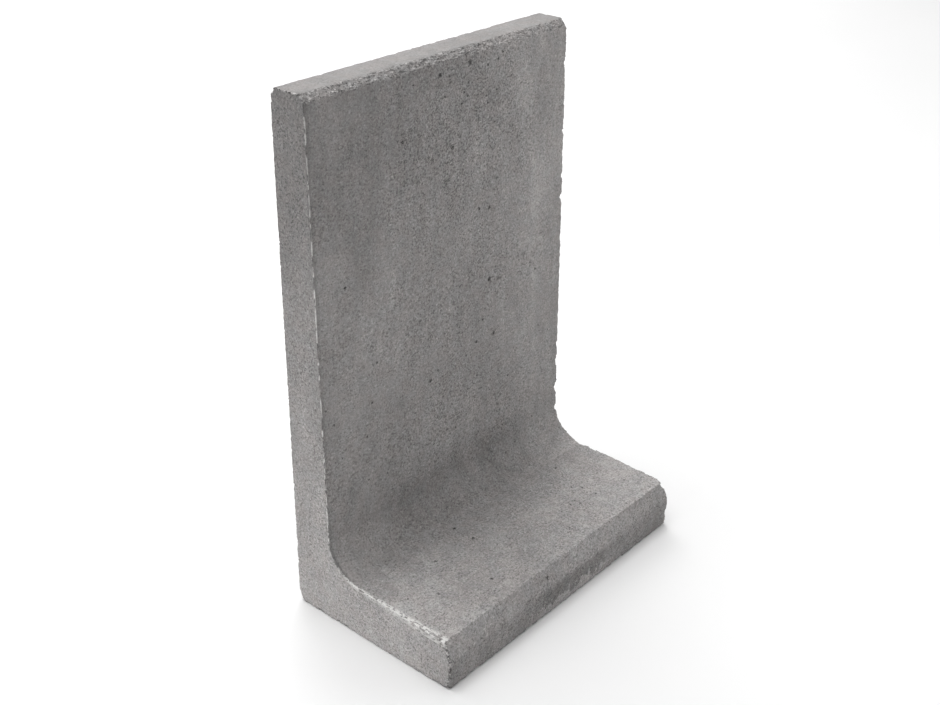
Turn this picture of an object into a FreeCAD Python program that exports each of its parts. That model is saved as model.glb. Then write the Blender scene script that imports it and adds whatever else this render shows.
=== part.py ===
"""L-shaped concrete retaining block, one cast unit. All dimensions in millimetres.

Frame: origin at the middle of the footprint, on the ground. +X runs along the row of
blocks, +Y points out of the wall's outer face, -Y points out of the foot's toe, +Z is up.
The block is a straight prism: one L profile in the YZ plane, extruded along X. The
upright thins a little towards its top and the foot towards its toe, as mould draft.
"""

import FreeCAD, Part

import math
import os

# Driving dimensions
LENGTH = 400.0  # along the row of blocks, X
HEIGHT = 600.0  # ground to the top of the wall, Z
DEPTH = 230.0  # outer face of the wall to the furthest point of the toe, Y
WALL_LOW = 54.0  # thickness of the upright where it meets the foot
WALL_TOP = 47.0  # thickness of the upright at its top
FOOT_BACK = 64.0  # thickness of the foot where it meets the upright
FOOT_TOE = 59.0  # thickness of the foot at the toe
FILLET = 42.0  # inside corner between the upright and the foot

TOP_FRONT = 7.0  # 45 degree chamfer, top edge on the foot side
TOP_BACK = 6.0  # 45 degree chamfer, top edge on the outer side
HEEL = 4.0  # 45 degree chamfer under the outer face

NOSE_RUN = 9.0  # how far the top of the toe's bevel lies behind its furthest point
NOSE_HEIGHT = 31.0  # height of the toe's furthest point, where the bevel's round ends
NOSE_RADIUS = 25.0  # round between the bevel and the toe's lower face
TOE_LEAN = 2.0  # the toe's lower face leans back by this much at the ground

# Derived positions
y_out = DEPTH / 2
y_toe = -DEPTH / 2

# The inside corner before rounding, and unit directions up the wall and along the foot
corner = (y_out - WALL_LOW, FOOT_BACK)
wall_end = (y_out - WALL_TOP, HEIGHT)
foot_end = (y_toe + NOSE_RUN, FOOT_TOE)


def unit(a, b):
    d = math.hypot(b[0] - a[0], b[1] - a[1])
    return ((b[0] - a[0]) / d, (b[1] - a[1]) / d)


up = unit(corner, wall_end)
out = unit(corner, foot_end)
half = math.acos(up[0] * out[0] + up[1] * out[1]) / 2
mid = unit((0, 0), (up[0] + out[0], up[1] + out[1]))
reach = FILLET / math.tan(half)
depth_in = FILLET / math.sin(half) - FILLET

# The bevel runs from the foot's top to touch the round, which ends upright
round_c = (y_toe + NOSE_RADIUS, NOSE_HEIGHT)
away = math.hypot(foot_end[0] - round_c[0], foot_end[1] - round_c[1])
turn = math.atan2(foot_end[1] - round_c[1], foot_end[0] - round_c[0]) + math.acos(NOSE_RADIUS / away)


def v(y, z):
    return FreeCAD.Vector(-LENGTH / 2, y, z)


def on_round(a):
    return v(round_c[0] + NOSE_RADIUS * math.cos(a), round_c[1] + NOSE_RADIUS * math.sin(a))


def line(a, b):
    return Part.LineSegment(a, b).toShape()


def arc(a, m, b):
    return Part.Arc(a, m, b).toShape()


heel_a = v(y_out - HEEL, 0)
heel_b = v(y_out, HEEL)
top_back_a = v(y_out, HEIGHT - TOP_BACK)
top_back_b = v(y_out - TOP_BACK, HEIGHT)
top_front_a = v(wall_end[0] + TOP_FRONT, HEIGHT)
top_front_b = v(wall_end[0] - up[0] / up[1] * TOP_FRONT, HEIGHT - TOP_FRONT)
fillet_a = v(corner[0] + up[0] * reach, corner[1] + up[1] * reach)
fillet_m = v(corner[0] + mid[0] * depth_in, corner[1] + mid[1] * depth_in)
fillet_b = v(corner[0] + out[0] * reach, corner[1] + out[1] * reach)
bevel_a = v(foot_end[0], foot_end[1])
bevel_b = on_round(turn)
nose_m = on_round((turn + math.pi) / 2)
nose_b = v(y_toe, NOSE_HEIGHT)
toe = v(y_toe + TOE_LEAN, 0)

edges = [
    line(toe, heel_a),  # underside
    line(heel_a, heel_b),
    line(heel_b, top_back_a),  # outer face
    line(top_back_a, top_back_b),
    line(top_back_b, top_front_a),  # top
    line(top_front_a, top_front_b),
    line(top_front_b, fillet_a),  # inner face
    arc(fillet_a, fillet_m, fillet_b),
    line(fillet_b, bevel_a),  # top of the foot
    line(bevel_a, bevel_b),  # bevel along the toe
    arc(bevel_b, nose_m, nose_b),
    line(nose_b, toe),  # front of the toe
]
profile = Part.Face(Part.Wire(edges))
block = profile.extrude(FreeCAD.Vector(LENGTH, 0, 0))
if block.ShapeType != "Solid":
    block = Part.Solid(block.Shells[0])

assert block.isValid() and block.Volume > 0
box = block.BoundBox
print(
    "l_block",
    [round(a, 3) for a in (box.XLength, box.YLength, box.ZLength)],
    "volume_mm3",
    round(block.Volume, 1),
    "centre_of_mass",
    [round(a, 2) for a in block.CenterOfMass],
)
print("fillet ends", [(round(p.y, 2), round(p.z, 2)) for p in (fillet_a, fillet_b)])

os.makedirs("parts", exist_ok=True)
block.exportStep("parts/l_block.step")
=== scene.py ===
import math

import bpy
import numpy as np
from mathutils import Matrix, Vector
from mathutils.geometry import delaunay_2d_cdt


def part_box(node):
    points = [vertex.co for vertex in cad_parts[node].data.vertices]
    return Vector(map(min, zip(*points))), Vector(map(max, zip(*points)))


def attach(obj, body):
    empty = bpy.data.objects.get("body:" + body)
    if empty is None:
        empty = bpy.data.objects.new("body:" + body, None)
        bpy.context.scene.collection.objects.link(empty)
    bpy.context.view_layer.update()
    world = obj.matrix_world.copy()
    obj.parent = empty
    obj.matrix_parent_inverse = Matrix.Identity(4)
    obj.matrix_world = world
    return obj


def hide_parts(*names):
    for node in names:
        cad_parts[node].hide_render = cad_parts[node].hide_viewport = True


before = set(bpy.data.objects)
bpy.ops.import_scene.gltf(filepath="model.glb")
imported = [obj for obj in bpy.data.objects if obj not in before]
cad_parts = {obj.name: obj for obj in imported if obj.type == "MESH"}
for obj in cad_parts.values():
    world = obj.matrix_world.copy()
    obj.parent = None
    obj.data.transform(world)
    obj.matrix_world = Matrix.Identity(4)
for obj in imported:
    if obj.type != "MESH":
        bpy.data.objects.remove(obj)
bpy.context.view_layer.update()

lo, hi = (np.array(c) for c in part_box("l_block"))

# ---------------------------------------------------------------- the block's section
MM = 0.001
WALL_LOW, WALL_TOP = 54 * MM, 47 * MM
FOOT_BACK, FOOT_TOE = 64 * MM, 59 * MM
FILLET = 42 * MM
TOP_FRONT, TOP_BACK, HEEL = 7 * MM, 6 * MM, 4 * MM
NOSE_RUN, NOSE_HEIGHT, NOSE_RADIUS, TOE_LEAN = 9 * MM, 31 * MM, 25 * MM, 2 * MM

x0, x1 = lo[0], hi[0]
y_toe, y_out = lo[1], hi[1]
H = hi[2]


def vec(*a):
    return np.array(a, float)


def unit(a):
    return a / np.linalg.norm(a)


corner = vec(y_out - WALL_LOW, FOOT_BACK)
wall_end = vec(y_out - WALL_TOP, H)
foot_end = vec(y_toe + NOSE_RUN, FOOT_TOE)
up, out = unit(wall_end - corner), unit(foot_end - corner)
half = math.acos(float(up @ out)) / 2
reach = FILLET / math.tan(half)
fillet_a, fillet_b = corner + up * reach, corner + out * reach
fillet_c = corner + unit(up + out) * (FILLET / math.sin(half))
nose_c = vec(y_toe + NOSE_RADIUS, NOSE_HEIGHT)
away = foot_end - nose_c
turn = math.atan2(away[1], away[0]) + math.acos(NOSE_RADIUS / np.linalg.norm(away))
bevel_b = nose_c + NOSE_RADIUS * vec(math.cos(turn), math.sin(turn))
nose_b = vec(y_toe, NOSE_HEIGHT)

P = {
    "toe": vec(y_toe + TOE_LEAN, 0),
    "heel_a": vec(y_out - HEEL, 0),
    "heel_b": vec(y_out, HEEL),
    "back_a": vec(y_out, H - TOP_BACK),
    "back_b": vec(y_out - TOP_BACK, H),
    "front_a": vec(wall_end[0] + TOP_FRONT, H),
    "front_b": vec(wall_end[0] - up[0] / up[1] * TOP_FRONT, H - TOP_FRONT),
    "brow": foot_end,
}


def graded(length, fine, coarse, growth=1.14):
    """Stations from 0 to 1 along a run: close together at both ends, wider in the middle."""
    steps, s, total = [], fine, 0.0
    while total + s < length / 2:
        steps.append(s)
        total += s
        s = min(s * growth, coarse)
    left = length - 2 * total
    n = max(1, round(left / s))
    allsteps = steps + [left / n] * n + steps[::-1]
    t = np.concatenate([[0.0], np.cumsum(allsteps)])
    return t / t[-1]


SEC, NRM, TAG = [], [], []  # section points, outward normals, face tags


def run(a, b, tag, fine=1.1 * MM, coarse=2.6 * MM):
    t = graded(np.linalg.norm(b - a), fine, coarse)[:-1]
    d = unit(b - a)
    for k in t:
        SEC.append(a + (b - a) * k)
        NRM.append(vec(d[1], -d[0]))
        TAG.append(tag)


def sweep(c, r, a0, a1, tag, step, sign):
    n = max(4, int(round(abs(a1 - a0) * r / step)))
    for k in range(n):
        a = a0 + (a1 - a0) * k / n
        SEC.append(c + r * vec(math.cos(a), math.sin(a)))
        NRM.append(sign * vec(math.cos(a), math.sin(a)))
        TAG.append(tag)


def angle(p, c):
    return math.atan2(p[1] - c[1], p[0] - c[0])


run(P["toe"], P["heel_a"], "under", coarse=6 * MM)
run(P["heel_a"], P["heel_b"], "heel")
run(P["heel_b"], P["back_a"], "outer", coarse=3.4 * MM)
run(P["back_a"], P["back_b"], "topback", coarse=1.2 * MM)
run(P["back_b"], P["front_a"], "top", coarse=2.0 * MM)
run(P["front_a"], P["front_b"], "topfront", fine=0.9 * MM, coarse=1.0 * MM)
run(P["front_b"], fillet_a, "inner")
fa, fb = angle(fillet_a, fillet_c), angle(fillet_b, fillet_c)
if fa > 0:
    fa -= 2 * math.pi
if fb > 0:
    fb -= 2 * math.pi
sweep(fillet_c, FILLET, fa, fb, "fillet", 2.0 * MM, -1.0)
run(fillet_b, foot_end, "foot")
run(foot_end, bevel_b, "bevel", coarse=1.6 * MM)
sweep(nose_c, NOSE_RADIUS, turn, math.pi, "nose", 1.5 * MM, 1.0)
run(nose_b, P["toe"], "toe", coarse=1.8 * MM)
SEC, NRM, TAG = np.array(SEC), np.array(NRM), np.array(TAG)
NS = len(SEC)

# ---------------------------------------------------------------- grid: section x length
xs = x0 + (x1 - x0) * graded(x1 - x0, 1.0 * MM, 1.75 * MM)
NX = len(xs)
pos = np.zeros((NX, NS, 3))
pos[:, :, 0] = xs[:, None]
pos[:, :, 1:] = SEC[None]
nrm = np.zeros((NX, NS, 3))
nrm[:, :, 1:] = NRM[None]
side_pos, side_nrm = pos.reshape(-1, 3), nrm.reshape(-1, 3)
i, j = np.meshgrid(np.arange(NX - 1), np.arange(NS), indexing="ij")
jn = (j + 1) % NS
quads = np.stack([i * NS + j, i * NS + jn, (i + 1) * NS + jn, (i + 1) * NS + j], -1).reshape(-1, 4)

# ends: the section filled with triangles, finer towards its outline


def inside(q):
    a, b = SEC, np.roll(SEC, -1, 0)
    hit = np.zeros(len(q), bool)
    for (ay, az), (by, bz) in zip(a, b):
        if az == bz:
            continue
        c = ((az > q[:, 1]) != (bz > q[:, 1])) & (q[:, 0] < (by - ay) * (q[:, 1] - az) / (bz - az) + ay)
        hit ^= c
    return hit


def nearest(q):
    """Nearest section station to each point: index and distance."""
    idx, dist = np.zeros(len(q), int), np.zeros(len(q))
    for k in range(0, len(q), 2000):
        d = np.linalg.norm(q[k : k + 2000, None] - SEC[None], axis=2)
        idx[k : k + 2000], dist[k : k + 2000] = d.argmin(1), d.min(1)
    return idx, dist


rng = np.random.default_rng(7)
inner_pts = []
for near, far, step in ((0.8, 5.0, 1.25), (5.0, 12.0, 2.0), (12.0, 99.0, 3.2)):
    st = step * MM
    gy, gz = np.meshgrid(np.arange(y_toe, y_out, st), np.arange(0, H, st * 0.87))
    gy = gy + (np.arange(gz.shape[0]) % 2)[:, None] * st / 2
    q = np.stack([gy.ravel(), gz.ravel()], 1) + rng.uniform(-0.12, 0.12, (gy.size, 2)) * st
    q = q[inside(q)]
    d = nearest(q)[1]
    inner_pts.append(q[(d > near * MM) & (d <= far * MM)])
inner_pts = np.concatenate(inner_pts)
pts = [Vector(p) for p in SEC] + [Vector(p) for p in inner_pts]
cv, _, cf, co, _, _ = delaunay_2d_cdt(pts, [], [list(range(NS))], 1, 1e-7)
back = [o[0] for o in co]  # output vertex to input point
cap_tris = np.array([[back[k] for k in f] for f in cf])
NI = len(inner_pts)
base_l = len(side_pos)
base_r = base_l + NI
ends = []
for x in (x0, x1):
    e = np.zeros((NI, 3))
    e[:, 0], e[:, 1:] = x, inner_pts
    ends.append(e)
map_l = np.concatenate([np.arange(NS), base_l + np.arange(NI)])
map_r = np.concatenate([(NX - 1) * NS + np.arange(NS), base_r + np.arange(NI)])
tri_a, tri_b, tri_c = cap_tris.T
area = (
    np.cross(np.append(SEC, inner_pts, 0)[tri_b] - np.append(SEC, inner_pts, 0)[tri_a],
             np.append(SEC, inner_pts, 0)[tri_c] - np.append(SEC, inner_pts, 0)[tri_a])
)
cap_tris[area < 0] = cap_tris[area < 0][:, ::-1]
tris = np.concatenate([map_l[cap_tris][:, ::-1], map_r[cap_tris]])

V = np.concatenate([side_pos, *ends])
N = np.concatenate([side_nrm, np.tile([-1.0, 0, 0], (NI, 1)), np.tile([1.0, 0, 0], (NI, 1))])
near_i, near_d = nearest(inner_pts)
station = np.concatenate([np.tile(np.arange(NS), NX), near_i, near_i])
on_cap = np.zeros(len(V), bool)
on_cap[base_l:] = True

# ---------------------------------------------------------------- noise


def hash3(ix, iy, iz, seed):
    h = (ix * 374761393 + iy * 668265263 + iz * 2147483647 + seed * 1274126177) & 0xFFFFFFFF
    h = ((h ^ (h >> 13)) * 1274126177) & 0xFFFFFFFF
    h = ((h ^ (h >> 16)) * 2246822519) & 0xFFFFFFFF
    return ((h ^ (h >> 15)) & 0xFFFFFF) / float(0xFFFFFF)


def noise(p, size, seed=0):
    """Smooth value noise, 0 to 1, features about size metres across."""
    q = p / size + 1000.0
    f = np.floor(q)
    w = q - f
    w = w * w * w * (w * (w * 6 - 15) + 10)
    f = f.astype(np.int64)
    r = np.zeros(len(p))
    for dx in (0, 1):
        for dy in (0, 1):
            for dz in (0, 1):
                c = hash3(f[:, 0] + dx, f[:, 1] + dy, f[:, 2] + dz, seed)
                r += c * (w[:, 0] if dx else 1 - w[:, 0]) * (w[:, 1] if dy else 1 - w[:, 1]) * (w[:, 2] if dz else 1 - w[:, 2])
    return r


def fbm(p, size, seed=0, octaves=3, gain=0.5):
    r, a, t = 0, 1.0, 0.0
    for k in range(octaves):
        r = r + a * noise(p, size / 2**k, seed + 17 * k)
        t += a
        a *= gain
    return r / t


def smooth(a, b, x):
    t = np.clip((x - a) / (b - a), 0, 1)
    return t * t * (3 - 2 * t)


# ---------------------------------------------------------------- wear
base = V.copy()


def near_point(p, c, r):
    """1 at c, falling smoothly to 0 at r."""
    return 1 - smooth(0, r, np.linalg.norm(p - np.array(c), axis=1))


def cut_arris(dist, bis, depth):
    """Cuts a convex arris back: dist is the distance from it over either face, bis the way in."""
    global V
    need = depth - dist / math.sqrt(2)
    k = need > 0
    V[k] += bis[k] * need[k, None]


# the two end outlines
seg = np.concatenate([SEC[station[:base_l]], SEC[near_i], SEC[near_i]])
sn = NRM[station]
for x, sgn in ((x0, -1.0), (x1, 1.0)):
    d = np.where(on_cap, np.concatenate([np.zeros(base_l), near_d, near_d]), np.abs(base[:, 0] - x))
    use = np.abs(base[:, 0] - x) < 12 * MM
    if sgn < 0:
        use &= ~(on_cap & (base[:, 0] > 0))
    else:
        use &= ~(on_cap & (base[:, 0] < 0))
    e = np.zeros_like(base)
    e[:, 0] = x
    e[:, 1:] = seg
    bis = np.zeros_like(base)
    bis[:, 0] = -sgn
    bis[:, 1:] = -sn
    bis /= math.sqrt(2)
    seed = 100 if sgn < 0 else 200
    c = 0.25 + 0.55 * noise(e, 5 * MM, seed) + 0.6 * smooth(0.55, 0.85, noise(e, 3 * MM, seed + 1))
    c += 1.5 * smooth(0.66, 0.86, noise(e, 9 * MM, seed + 2)) * (0.5 + noise(e, 3.1 * MM, seed + 3))
    c += 0.8 * (noise(base, 1.9 * MM, seed + 4) - 0.5)
    tag = TAG[station]
    soft = (tag == "fillet") | (tag == "inner") | (tag == "foot")
    if sgn < 0:
        c = np.where(soft, c * 0.55, np.where(tag == "outer", c * 0.6, c))
        c += 1.5 * near_point(e, (x, y_out, 0.004), 0.010)
        c += 2.4 * near_point(e, (x, y_toe, 0.0), 0.02)
        c += 0.7 * near_point(e, (x, y_out, H), 0.010)
        c += 1.5 * near_point(e, (x, wall_end[0], H), 0.012)
        c += 1.4 * near_point(e, (x, y_out, 0.075), 0.006)
    else:
        c = np.where(soft, c * 1.15 + 0.2, c)
        c += 3.0 * near_point(e, (x, corner[0] + 0.001, 0.128), 0.010)
        c += 2.8 * near_point(e, (x, y_toe + 0.008, FOOT_TOE - 0.001), 0.014)
        c += 1.5 * near_point(e, (x, wall_end[0], H), 0.012)
        c += 1.5 * near_point(e, (x, y_out, 0.004), 0.014)
    k = use & (d < 12 * MM)
    cut_arris(np.where(k, d, 1.0), bis, np.maximum(c, 0.15) * MM)

# the arrises along the length
for name, seed, amp in (
    ("toe", 300, 1.0), ("heel_a", 310, 1.0), ("heel_b", 320, 1.0), ("back_a", 330, 0.8),
    ("back_b", 340, 0.7), ("front_a", 350, 0.55), ("front_b", 360, 1.1), ("brow", 370, 0.5),
):
    c0 = P[name]
    j0 = int(np.argmin(np.linalg.norm(SEC - c0, axis=1)))
    n1, n2 = NRM[j0 - 1], NRM[j0]
    b = -unit(n1 + n2)
    cosn = float(np.clip(-b @ n1, 0.05, 1))
    d = np.linalg.norm(base[:, 1:] - c0, axis=1)
    e = base.copy()
    e[:, 1:] = c0
    c = 0.2 + 0.5 * noise(e, 5 * MM, seed) + 1.1 * smooth(0.6, 0.85, noise(e, 7 * MM, seed + 1)) * (0.4 + noise(e, 2.6 * MM, seed + 2))
    c += 0.7 * (noise(base, 1.9 * MM, seed + 3) - 0.5)
    c = np.maximum(c * amp, 0.1) * MM
    sinn = math.sqrt(max(0.0, 1 - cosn * cosn))
    need = c - d * sinn
    k = (need > 0) & (d < 8 * MM)
    V[k, 1:] += b * need[k, None]

# faces: slight waviness, grain in the top front chamfer and the toe, pits
face = TAG[station]
face = np.where(on_cap, "end", face)
wave = 0.35 * fbm(base, 70 * MM, 1, 2) + 0.22 * fbm(base, 14 * MM, 2, 2) + 0.12 * noise(base, 5 * MM, 3)
lengths = np.linalg.norm(np.roll(SEC, -1, 0) - SEC, axis=1)
arc_at = np.concatenate([[0], np.cumsum(lengths)[:-1]])
total = lengths.sum()


def blended(table, width):
    """A value per face, blended along the section where two faces meet."""
    raw = np.array([table.get(t, 0.0) for t in TAG])
    gap = np.abs(arc_at[:, None] - arc_at[None])
    gap = np.minimum(gap, total - gap)
    w = np.exp(-0.5 * (gap / width) ** 2) * lengths[None]
    r = (w * raw[None]).sum(1) / w.sum(1)
    r = r[station]
    r[on_cap] = table.get("end", 0.0)
    return r


chamf = blended({"topfront": 1.0}, 0.8 * MM)
grainy = blended({"inner": 0.22, "fillet": 0.28, "foot": 0.30, "bevel": 0.34, "nose": 0.3, "toe": 0.3, "under": 0.5,
                  "outer": 0.2, "top": 0.08, "topback": 0.2, "heel": 0.3, "topfront": 0.3, "end": 0.16}, 5 * MM)
rough = grainy * (noise(base, 3.4 * MM, 6) + 0.8 * smooth(0.7, 0.85, noise(base, 4.4 * MM, 8)))
stretch = base * vec(0.5, 1, 1)
rough += chamf * (0.6 * noise(stretch, 1.8 * MM, 4) ** 2 + 0.7 * smooth(0.62, 0.82, noise(stretch, 2.8 * MM, 5)))
pits = np.zeros(len(V))
for k in range(150):
    u = rng.random()
    if u < 0.45:
        c = vec(rng.uniform(x0, x1), 0, rng.uniform(0.16, H - 0.02))
        c[1] = corner[0] + (c[2] - corner[1]) * up[0] / up[1]
    elif u < 0.65:
        c = vec(rng.uniform(x0, x1), y_out, rng.uniform(0.02, H - 0.02))
    elif u < 0.8:
        c = vec(rng.choice([x0, x1]), rng.uniform(y_out - WALL_TOP, y_out), rng.uniform(0.02, H - 0.02))
    else:
        c = vec(rng.uniform(x0, x1), rng.uniform(y_toe + 0.01, 0.02), FOOT_TOE + 0.003)
    r = rng.uniform(1.6, 3.0) * MM
    d = np.linalg.norm(base - c, axis=1)
    m = d < r * 1.4
    pits[m] = np.maximum(pits[m], rng.uniform(0.6, 1.3) * (1 - smooth(0, r * 1.4, d[m])))
V -= N * ((wave + rough + pits) * MM)[:, None]

V = np.clip(V, lo + 1e-5, hi - 1e-5)

mesh = bpy.data.meshes.new("block_rough")
faces = [list(map(int, q)) for q in quads] + [list(map(int, t)) for t in tris]
mesh.from_pydata(V.tolist(), [], faces)
mesh.validate()
dense = bpy.data.objects.new("block_rough", mesh)
bpy.context.scene.collection.objects.link(dense)

LIMIT = 190000
count = len(quads) * 2 + len(tris)
dec = dense.modifiers.new("thin", "DECIMATE")
dec.ratio = min(1.0, LIMIT / count)
dg = bpy.context.evaluated_depsgraph_get()
final = bpy.data.meshes.new_from_object(dense.evaluated_get(dg), depsgraph=dg)
bpy.data.objects.remove(dense)
bpy.data.meshes.remove(mesh)
final.name = "block_surface"
for p in final.polygons:
    p.use_smooth = True
final.set_sharp_from_angle(angle=math.radians(38))
block = bpy.data.objects.new("concrete_block", final)
bpy.context.scene.collection.objects.link(block)
print("TRIS", count, "->", sum(len(p.vertices) - 2 for p in final.polygons), "NS", NS, "NX", NX, "NI", NI)

# ---------------------------------------------------------------- masks kept on the mesh
co = np.zeros(len(final.vertices) * 3)
final.vertices.foreach_get("co", co)
co = np.clip(co.reshape(-1, 3), lo + 1e-5, hi - 1e-5)
final.vertices.foreach_set("co", co.ravel())
final.update()


def keep(name, values):
    a = final.attributes.new(name, "FLOAT", "POINT")
    a.data.foreach_set("value", np.asarray(values, np.float32))


ns_i, ns_d = nearest(co[:, 1:])
side = np.minimum(co[:, 0] - x0, x1 - co[:, 0])
y_in = corner[0] + (co[:, 2] - corner[1]) * up[0] / up[1]
# distance from the nearest long arris and from the end outline
longs = np.min([np.linalg.norm(co[:, 1:] - P[n], axis=1) for n in P], axis=0)
keep("edge", np.minimum(longs, np.hypot(side, ns_d)) / MM)
keep("edge_left", np.hypot(co[:, 0] - x0, ns_d) / MM)
tag = TAG[ns_i]
flat_end = (ns_d > 2.2 * MM) | (side < 0.4 * MM)
for name, tags in (("chamfer", ("topfront",)), ("top", ("top",)), ("toe", ("toe", "nose")), ("bevel", ("bevel",)),
                   ("inner", ("inner", "fillet")), ("foot", ("foot", "fillet"))):
    keep("on_" + name, np.isin(tag, tags) & ~flat_end)

# ---------------------------------------------------------------- material


class Nodes:
    def __init__(self, mat):
        self.t = mat.node_tree
        self.t.nodes.clear()

    def new(self, kind, **props):
        n = self.t.nodes.new(kind)
        for k, v in props.items():
            setattr(n, k, v)
        return n

    def put(self, sock, v):
        if isinstance(v, bpy.types.NodeSocket):
            self.t.links.new(v, sock)
        else:
            sock.default_value = v

    def math(self, op, a, b=0.0, c=None, clamp=False):
        n = self.new("ShaderNodeMath", operation=op, use_clamp=clamp)
        self.put(n.inputs[0], a)
        self.put(n.inputs[1], b)
        if c is not None:
            self.put(n.inputs[2], c)
        return n.outputs[0]

    def ramp(self, x, a, b, lo=0.0, hi=1.0, smooth=True):
        n = self.new("ShaderNodeMapRange", interpolation_type="SMOOTHSTEP" if smooth else "LINEAR")
        self.put(n.inputs["Value"], x)
        self.put(n.inputs["From Min"], a)
        self.put(n.inputs["From Max"], b)
        self.put(n.inputs["To Min"], lo)
        self.put(n.inputs["To Max"], hi)
        return n.outputs["Result"]

    def noise(self, v, scale, detail=2.0, rough=0.5, w=None):
        n = self.new("ShaderNodeTexNoise")
        self.put(n.inputs["Vector"], v)
        self.put(n.inputs["Scale"], scale)
        self.put(n.inputs["Detail"], detail)
        self.put(n.inputs["Roughness"], rough)
        return n.outputs["Fac"]

    def cells(self, v, scale, feature="F1"):
        n = self.new("ShaderNodeTexVoronoi", feature=feature)
        self.put(n.inputs["Vector"], v)
        self.put(n.inputs["Scale"], scale)
        return n

    def scaled(self, v, x, y, z, shift=(0, 0, 0)):
        n = self.new("ShaderNodeMapping")
        self.put(n.inputs["Vector"], v)
        n.inputs["Scale"].default_value = (x, y, z)
        n.inputs["Location"].default_value = shift
        return n.outputs["Vector"]

    def attr(self, name):
        return self.new("ShaderNodeAttribute", attribute_name=name).outputs["Fac"]

    def mix(self, f, a, b):
        n = self.new("ShaderNodeMix", data_type="RGBA")
        self.put(n.inputs[0], f)
        self.put(n.inputs[6], a)
        self.put(n.inputs[7], b)
        return n.outputs[2]


def srgb(r, g, b, a=1.0):
    f = lambda c: c / 12.92 if c <= 0.04045 else ((c + 0.055) / 1.055) ** 2.4
    return (f(r / 255), f(g / 255), f(b / 255), a)


mat = bpy.data.materials.new("cast_concrete")
mat.use_nodes = True
m = Nodes(mat)
co_n = m.new("ShaderNodeTexCoord").outputs["Object"]
xyz = m.new("ShaderNodeSeparateXYZ")
m.put(xyz.inputs[0], co_n)
X, Y, Z = xyz.outputs
nor = m.new("ShaderNodeSeparateXYZ")
m.put(nor.inputs[0], m.new("ShaderNodeNewGeometry").outputs["True Normal"])
NXs, NYs, NZs = nor.outputs
mul = lambda *a: m.math("MULTIPLY", a[0], a[1]) if len(a) == 2 else m.math("MULTIPLY", a[0], mul(*a[1:]))
one_minus = lambda a: m.math("SUBTRACT", 1.0, a)
band = lambda x, a, b, c, d: mul(m.ramp(x, a, b), m.ramp(x, c, d, 1, 0))

edge, left = m.attr("edge"), m.attr("edge_left")
chamfer, top, toe = m.attr("on_chamfer"), m.attr("on_top"), m.attr("on_toe")
bevel, inner, foot = m.attr("on_bevel"), m.attr("on_inner"), m.attr("on_foot")
end = m.ramp(m.math("ABSOLUTE", NXs), 0.6, 0.85)
not_end = one_minus(end)

# grain: sand, cement paste and fine pitting; every factor is about 1
coarse = m.noise(co_n, 330, 2.0, 0.6)
grain = m.noise(m.scaled(co_n, 1, 1, 1, (3.1, 1.7, 0.4)), 640, 2.0, 0.6)
fine = m.noise(co_n, 1300, 1.0, 0.5)
sand = m.cells(co_n, 560)
sand_v = m.new("ShaderNodeSeparateColor")
m.put(sand_v.inputs[0], sand.outputs["Color"])
fleck = m.noise(m.scaled(co_n, 1, 1, 1, (7.3, 0.2, 5.1)), 470, 1.0, 0.5)
mid = m.noise(co_n, 120, 3.0, 0.6)
cloud = m.noise(m.scaled(co_n, 1, 1, 0.4), 24, 3.0, 0.6)
slant = m.noise(m.scaled(m.scaled(co_n, 1, 1, 1), 1.6, 1, 0.35, (0.3, 0, 0.9)), 46, 2.0, 0.6)
big = m.noise(co_n, 6, 2.0, 0.5)

tex = mul(m.ramp(coarse, 0.3, 0.7, 0.84, 1.16, False), m.ramp(grain, 0.3, 0.7, 0.76, 1.24, False))
tex = mul(tex, m.ramp(fine, 0.3, 0.7, 0.90, 1.10, False), m.ramp(sand_v.outputs[0], 0, 1, 0.88, 1.12, False))
patch = m.noise(m.scaled(co_n, 1, 1, 0.6, (4.0, 0, 2.0)), 38, 3.0, 0.6)
dense = m.math("ADD", fleck, m.ramp(patch, 0.35, 0.68, -0.045, 0.045, False))
spot = mul(inner, m.ramp(Z, 0.30, 0.50), m.ramp(m.math("ABSOLUTE", m.math("SUBTRACT", X, 0.02)), 0.05, 0.15, 1, 0))
dense = m.math("ADD", dense, m.math("MULTIPLY", spot, 0.035))
tex = mul(tex, m.ramp(dense, 0.58, 0.68, 1, 0.55), m.ramp(fleck, 0.30, 0.40, 1.22, 1))
right_calm = m.math("MAXIMUM", mul(inner, m.ramp(X, 0.06, 0.19, 0, 0.28)), m.math("MAXIMUM", mul(inner, m.ramp(X, -0.04, -0.15, 0, 0.28)), m.math("MULTIPLY", m.math("MAXIMUM", foot, bevel), 0.14)))
calm = m.math("MAXIMUM", m.math("MULTIPLY", top, 0.55), m.math("MAXIMUM", m.math("MULTIPLY", end, 0.06), right_calm))
tex = m.math("ADD", mul(tex, one_minus(calm)), calm)
tone = mul(tex, m.ramp(mid, 0.3, 0.7, 0.93, 1.07, False), m.ramp(cloud, 0.3, 0.7, 0.90, 1.10, False))
tone = mul(tone, m.ramp(slant, 0.3, 0.7, 0.95, 1.05, False), m.ramp(big, 0.35, 0.65, 0.96, 1.04, False))

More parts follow.
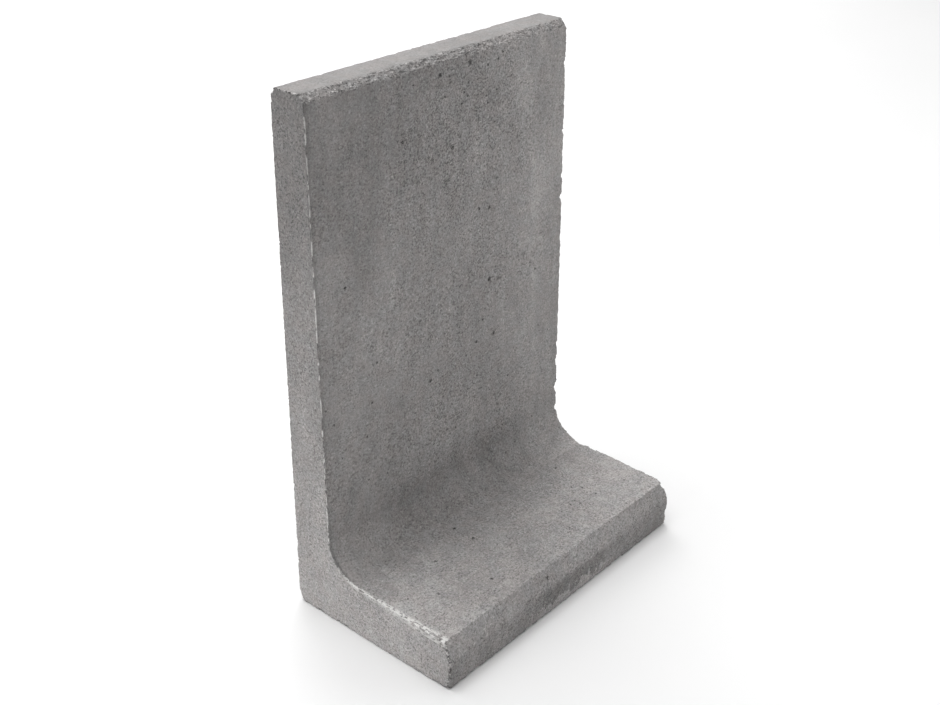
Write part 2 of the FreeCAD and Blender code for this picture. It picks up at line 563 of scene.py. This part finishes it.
# pores: open dark pits, few over the faces, more near the top of the inner face
wob = m.new("ShaderNodeVectorMath", operation="SCALE")
wobn = m.new("ShaderNodeTexNoise")
m.put(wobn.inputs["Vector"], co_n)
wobn.inputs["Scale"].default_value = 700
m.put(wob.inputs[0], wobn.outputs["Color"])
wob.inputs["Scale"].default_value = 0.0036
wobbled = m.new("ShaderNodeVectorMath", operation="ADD")
m.put(wobbled.inputs[0], co_n)
m.put(wobbled.inputs[1], wob.outputs[0])
pore_c = m.cells(wobbled.outputs[0], 105)
pc = m.new("ShaderNodeSeparateColor")
m.put(pc.inputs[0], pore_c.outputs["Color"])
pore_size = m.ramp(pc.outputs[1], 0, 1, 0.05, 0.20, False)
crowd = mul(m.ramp(Z, 0.42, 0.54), m.ramp(m.math("ABSOLUTE", m.math("SUBTRACT", X, 0.03)), 0.04, 0.13, 1, 0), inner)
pore_size = mul(pore_size, m.math("ADD", 1.0, m.math("MULTIPLY", crowd, 0.75)))
pore_pick = m.math("GREATER_THAN", pc.outputs[0], m.math("SUBTRACT", 0.85, m.math("MULTIPLY", crowd, 0.55)))
pore = mul(m.ramp(m.math("DIVIDE", pore_c.outputs["Distance"], pore_size), 0.5, 1.05, 1, 0), pore_pick, one_minus(m.math("MULTIPLY", top, 0.8)))
shift = 0.0018
ragged = m.math("MULTIPLY", m.math("SUBTRACT", grain, 0.5), 0.0062)
for px, py, pz, pr in (
    (-0.0706, 0.0673, 0.5214, 2.3), (0.0050, 0.0670, 0.4977, 2.6), (0.0489, 0.0663, 0.4156, 2.6), (0.0660, 0.0663, 0.4118, 2.6),
    (0.0667, 0.0654, 0.3245, 3.0), (0.0746, 0.0648, 0.2523, 2.6), (0.0442, 0.0648, 0.2521, 2.2), (-0.0346, 0.0646, 0.2332, 2.2),
    (-0.0126, 0.0678, 0.5793, 2.6), (0.0339, 0.0678, 0.5832, 3.0), (-0.0839, 0.0450, 0.0640, 2.6), (-0.0474, 0.0157, 0.0601, 1.9),
    (-0.0468, -0.0120, 0.0589, 1.9), (-0.0972, 0.0269, 0.0605, 2.0), (-0.1072, -0.0093, 0.0590, 1.7), (-0.0873, -0.0750, 0.0563, 1.7),
    (-0.0335, -0.1096, 0.0473, 2.6), (-0.1580, 0.0660, 0.3900, 1.8),
):
    dist = m.new("ShaderNodeVectorMath", operation="DISTANCE")
    m.put(dist.inputs[0], wobbled.outputs[0])
    if pz > 0.1:
        py = corner[0] + (pz - corner[1]) * up[0] / up[1]
    elif py < 0.02:
        pz = min(pz, foot_end[1] + (py - foot_end[0]) * out[1] / out[0]) if py < foot_end[0] else foot_end[1] + (py - foot_end[0]) * out[1] / out[0]
    dist.inputs[1].default_value = (px + shift, py + shift, pz + shift)
    pore = m.math("MAXIMUM", pore, m.ramp(m.math("ADD", dist.outputs["Value"], ragged), 0.50 * pr * MM, 1.25 * pr * MM, 1, 0))
tone = mul(tone, m.ramp(pore, 0, 1, 1, 0.30, False))

# large tones, painted light and shade: ends brighter towards the ground, the inner face brighter towards one side,
# the foot brighter away from the wall, painted shade in the inside crease
# painted floor-bounce light: the end faces made brighter towards the ground
painted_bounce_light_ends = m.ramp(Z, 0.52, 0.02, 0.66, 1.24, False)
tone = mul(tone, m.math("ADD", mul(end, painted_bounce_light_ends), not_end))
# painted light: the inner face made brighter towards +X
tone = mul(tone, m.math("ADD", 1.0, mul(inner, m.ramp(m.math("ADD", X, m.math("MULTIPLY", m.math("SUBTRACT", cloud, 0.5), 0.12)), 0.0, 0.19, 0.0, 0.20))))
# painted light: the foot top made brighter away from the wall and towards both ends, standing in for the wall's shade
# near the corner
tone = mul(tone, m.math("ADD", 1.0, mul(foot, m.ramp(Y, 0.045, -0.03, 0.00, 0.22), m.ramp(m.math("ABSOLUTE", X), 0.0, 0.16, 0.85, 1.30))))
# painted shade: darkening in the inside crease between wall and foot, strongest in the middle of the length
painted_crease_shade = mul(m.ramp(Z, 0.150, 0.090, 0, 1), m.ramp(Z, 0.060, 0.068), m.math("LESS_THAN", Y, 0.075), m.math("GREATER_THAN", Y, -0.01), m.ramp(m.math("ABSOLUTE", X), 0.05, 0.19, 1, 0), not_end)
tone = mul(tone, m.ramp(painted_crease_shade, 0, 1, 1, 0.80, False))
# painted light: the left end of the toe and foot front made brighter
painted_light_left_toe = mul(m.ramp(X, -0.08, -0.17), m.ramp(Y, 0.03, -0.04), not_end)
tone = mul(tone, m.ramp(painted_light_left_toe, 0, 1, 1, 1.10, False))
# painted shade: the upper left of the inner face made darker; the top face is also made darker overall
painted_shade_upper_left_inner = mul(inner, m.ramp(Z, 0.36, 0.54), m.ramp(X, 0.10, -0.06))
tone = mul(tone, m.ramp(painted_shade_upper_left_inner, 0, 1, 1, 0.83, False), m.ramp(top, 0, 1, 1, 0.87, False))

# worn arrises, paler and broken up, with dark nicks between
rag = m.noise(m.scaled(co_n, 1, 1, 1, (1.3, 4.4, 2.2)), 360, 2.0, 0.6)
near = m.ramp(edge, 0.5, 2.6, 1, 0)
worn = mul(near, m.ramp(rag, 0.50, 0.60))
nick = mul(near, m.ramp(rag, 0.40, 0.46, 1, 0))
tone = mul(tone, m.ramp(worn, 0, 1, 1, 1.22, False), m.ramp(nick, 0, 1, 1, 0.70, False))

# top front chamfer: short pale flecks and dark pits drawn out along the block
drawn = m.noise(m.scaled(co_n, 0.24, 1, 1, (2.0, 0, 0)), 620, 2.0, 0.6)
drawn2 = m.noise(m.scaled(co_n, 0.38, 1, 1, (0, 5.0, 0)), 520, 2.0, 0.6)
lip = mul(m.ramp(m.math("ABSOLUTE", m.math("SUBTRACT", Z, H - TOP_FRONT - 0.0006)), 0.0006, 0.0020, 1, 0), m.math("LESS_THAN", Y, 0.09), not_end)
cham = m.math("MAXIMUM", chamfer, lip)
tone = mul(tone, m.ramp(chamfer, 0, 1, 1, 0.90, False))
tone = mul(tone, m.ramp(mul(cham, m.ramp(drawn, 0.56, 0.63)), 0, 1, 1, 1.60, False))
tone = mul(tone, m.ramp(mul(cham, m.ramp(drawn2, 0.38, 0.44, 1, 0)), 0, 1, 1, 0.48, False))

# left end outline: a thin broken pale burr up the wall, a dark zone beside it on the wall
breaks = m.noise(m.scaled(co_n, 1, 1, 0.30, (0.7, 0, 0)), 330, 1.0, 0.5)
on_wall = m.ramp(Z, 0.085, 0.105)
wall_side = mul(m.math("LESS_THAN", Y, 0.082), on_wall)
burr = mul(m.ramp(left, 1.15, 1.9, 1, 0), wall_side, m.ramp(breaks, 0.44, 0.54), m.ramp(Z, 0.36, 0.52, 1.0, 0.50), m.ramp(rag, 0.36, 0.50, 0.70, 1))
shade = mul(m.ramp(left, 1.0, 2.0), m.ramp(left, 3.0, 7.0, 1, 0), wall_side, not_end, m.ramp(mid, 0.3, 0.55, 0.35, 1))
gap = mul(m.ramp(left, 0.8, 2.0, 1, 0), wall_side, m.ramp(breaks, 0.40, 0.47, 1, 0))
tone = mul(tone, m.ramp(shade, 0, 1, 1, 0.80, False), m.ramp(gap, 0, 1, 1, 0.62, False))

# top of the left end: dark pits and pale grains along the edge
crown = mul(m.ramp(Z, H - 0.0075, H - 0.003), m.ramp(left, 0.8, 4.0, 1, 0), m.ramp(m.math("ABSOLUTE", NZs), 0.6, 0.9, 1, 0.2))
tone = mul(tone, m.ramp(mul(crown, m.ramp(rag, 0.44, 0.50, 1, 0)), 0, 1, 1, 0.36, False))
tone = mul(tone, m.ramp(mul(crown, m.ramp(rag, 0.52, 0.58)), 0, 1, 1, 1.8, False))

# left end of the foot: dark start in the inside corner, then lime bloom that thickens to the toe
foot_side = mul(m.ramp(Z, 0.108, 0.096), m.math("GREATER_THAN", Z, 0.053), m.math("LESS_THAN", Y, 0.066))
run_on = m.ramp(Y, 0.030, -0.095, 0, 1, False)
salt_w = m.ramp(Y, 0.040, -0.095, 3.4, 10.6, False)
salt_n = m.noise(m.scaled(co_n, 1, 0.45, 1, (0, 0.3, 0)), 380, 2.0, 0.6)
salt_d = m.math("DIVIDE", m.math("ADD", left, m.math("MULTIPLY", m.math("SUBTRACT", salt_n, 0.5), 9.0)), salt_w)
salt = mul(m.ramp(salt_d, 0.58, 1.08, 1, 0), foot_side, m.math("LESS_THAN", Y, 0.050), m.ramp(end, 0.2, 0.9, 1, 0.40), m.ramp(salt_n, 0.43, 0.51))
salt = mul(salt, m.ramp(Y, 0.048, 0.030, 0.35, 1), m.ramp(Y, -0.109, -0.104, 0, 1))
inside_dark = mul(m.ramp(left, 2.0, 6.0, 1, 0), not_end, m.ramp(Z, 0.064, 0.068), m.ramp(Z, 0.085, 0.105, 1, 0), m.math("LESS_THAN", Y, 0.066))
tone = mul(tone, m.ramp(inside_dark, 0, 1, 1, 0.62, False))
fringe = mul(m.ramp(left, 3.0, 7.0, 1, 0), foot_side, not_end, one_minus(salt), m.ramp(mid, 0.35, 0.5, 0.2, 1))
tone = mul(tone, m.ramp(fringe, 0, 1, 1, 0.90, False))

# toe: darker lower face with a damp mark, ragged pale splashes along the bottom
toe_pit = mul(m.ramp(left, 1.5, 4.6, 1, 0), m.math("LESS_THAN", Y, -0.100))
tone = mul(tone, m.ramp(mul(toe_pit, m.ramp(rag, 0.45, 0.51, 1, 0)), 0, 1, 1, 0.42, False))
tone = mul(tone, m.ramp(mul(toe_pit, m.ramp(rag, 0.56, 0.62)), 0, 1, 1, 1.40, False))
drip = m.noise(m.scaled(co_n, 1, 1, 0.5, (0, 0, 0.8)), 105, 4.0, 0.7)
line_z = m.math("ADD", Z, m.math("MULTIPLY", m.math("SUBTRACT", drip, 0.5), 0.075))
lower = m.ramp(Z, 0.031, 0.038, 1, 0)
damp = mul(toe, lower, m.ramp(line_z, 0.012, 0.016), m.ramp(m.math("ABSOLUTE", m.math("SUBTRACT", X, 0.010)), 0.030, 0.085, 1, 0))
splash = mul(toe, m.ramp(line_z, 0.012, 0.0145, 1, 0), m.ramp(m.math("ABSOLUTE", m.math("SUBTRACT", X, 0.012)), 0.050, 0.075, 1, 0))
tone = mul(tone, m.ramp(mul(toe, lower), 0, 1, 1, 0.88, False), m.ramp(damp, 0, 1, 1, 0.76, False), m.ramp(splash, 0, 1, 1, 1.30, False))
tone = mul(tone, m.ramp(bevel, 0, 1, 1, 1.08, False))

hue = m.mix(m.ramp(m.noise(co_n, 60, 2.0), 0.35, 0.65), (0.276, 0.262, 0.256, 1), (0.262, 0.256, 0.253, 1))
vm = m.new("ShaderNodeVectorMath", operation="SCALE")
m.put(vm.inputs[0], hue)
m.put(vm.inputs["Scale"], tone)
lime = m.mix(m.ramp(fine, 0.3, 0.7), (0.64, 0.63, 0.615, 1), (0.82, 0.81, 0.795, 1))
colour = m.mix(m.math("MAXIMUM", m.math("MULTIPLY", burr, 0.85), m.math("MULTIPLY", salt, 0.95)), vm.outputs[0], lime)

height = m.math("ADD", m.math("MULTIPLY", grain, 0.55), m.math("MULTIPLY", fine, 0.2))
height = m.math("ADD", height, m.math("ADD", m.math("MULTIPLY", coarse, 0.6), m.math("MULTIPLY", mid, 0.5)))
height = m.math("SUBTRACT", height, m.math("MULTIPLY", pore, 1.4))
height = m.math("SUBTRACT", height, m.math("MULTIPLY", m.ramp(fleck, 0.58, 0.70), 0.5))
height = m.math("ADD", height, m.math("MULTIPLY", m.math("MAXIMUM", salt, burr), 0.7))
height = mul(height, one_minus(m.math("MULTIPLY", top, 0.5)))
bump = m.new("ShaderNodeBump")
bump.inputs["Strength"].default_value = 0.8
bump.inputs["Distance"].default_value = 0.0009
m.put(bump.inputs["Height"], height)

bsdf = m.new("ShaderNodeBsdfPrincipled")
m.put(bsdf.inputs["Base Color"], colour)
m.put(bsdf.inputs["Roughness"], m.ramp(grain, 0.3, 0.7, 0.80, 0.95, False))
bsdf.inputs["Specular IOR Level"].default_value = 0.3
m.put(bsdf.inputs["Normal"], bump.outputs[0])
outn = m.new("ShaderNodeOutputMaterial")
m.put(outn.inputs["Surface"], bsdf.outputs[0])
final.materials.append(mat)

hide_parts("l_block")
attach(block, "root")

# ---------------------------------------------------------------- floor
fl = bpy.data.meshes.new("floor")
R = 9.0
fl.from_pydata([(-R, -R, 0), (R, -R, 0), (R, R, 0), (-R, R, 0)], [], [(0, 1, 2, 3)])
floor = bpy.data.objects.new("studio_floor", fl)
bpy.context.scene.collection.objects.link(floor)
floor.location.z = -0.0004
fmat = bpy.data.materials.new("pale_floor")
fmat.use_nodes = True
f = Nodes(fmat)
fco = f.new("ShaderNodeTexCoord").outputs["Object"]
fb_ = f.new("ShaderNodeBsdfPrincipled")
f.put(fb_.inputs["Base Color"], f.mix(f.noise(fco, 3.0, 3.0), (0.80, 0.80, 0.80, 1), (0.82, 0.82, 0.82, 1)))
f.put(fb_.inputs["Roughness"], f.ramp(f.noise(fco, 8.0), 0.3, 0.7, 0.9, 0.96))
fb_.inputs["Specular IOR Level"].default_value = 0.1
fo = f.new("ShaderNodeOutputMaterial")
f.put(fo.inputs["Surface"], fb_.outputs[0])
fl.materials.append(fmat)

# ---------------------------------------------------------------- light
world = bpy.data.worlds.new("studio")
bpy.context.scene.world = world
world.use_nodes = True
bg = world.node_tree.nodes["Background"]
bg.inputs["Color"].default_value = (1, 1, 1, 1)
bg.inputs["Strength"].default_value = 0.42


def area(name, loc, target, size, watts):
    li = bpy.data.lights.new(name, "AREA")
    li.shape = "RECTANGLE"
    li.size, li.size_y = size
    li.energy = watts
    ob = bpy.data.objects.new(name, li)
    bpy.context.scene.collection.objects.link(ob)
    ob.location = loc
    d = Vector(target) - Vector(loc)
    ob.rotation_euler = d.to_track_quat("-Z", "Y").to_euler()
    return ob


area("overhead", (-0.4, 0.40, 2.4), (0, 0.05, 0), (2.0, 2.0), 49)
area("side", (-1.6, 0.1, 0.18), (0, 0, 0.05), (1.2, 0.34), 7.5)
area("front_right", (1.9, -2.2, 1.2), (0.1, 0, 0.3), (1.2, 1.2), 14)
area("far_floor", (2.4, 2.9, 3.2), (2.2, 2.7, 0), (3.2, 3.2), 130)

bpy.context.scene.view_settings.view_transform = "Standard"

# ---------------------------------------------------------------- camera
F_PX, SHIFT_Y = 1328.90, (308 - 352.5) / 940
ROT = Matrix((
    (0.658099, -0.752896, 0.007304),
    (0.325624, 0.293345, 0.898843),
    (-0.678878, -0.589149, 0.438211),
)).transposed()
cam_data = bpy.data.cameras.new("camera")
cam_data.sensor_width = 36
cam_data.lens = F_PX * 36 / 940
cam_data.shift_y = SHIFT_Y
cam_data.clip_start, cam_data.clip_end = 0.05, 50
cam = bpy.data.objects.new("camera", cam_data)
bpy.context.scene.collection.objects.link(cam)
cam.rotation_mode = "QUATERNION"
cam.location = (-0.99157, -0.82450, 0.96071)
cam.rotation_quaternion = ROT.to_quaternion()
bpy.context.scene.camera = cam
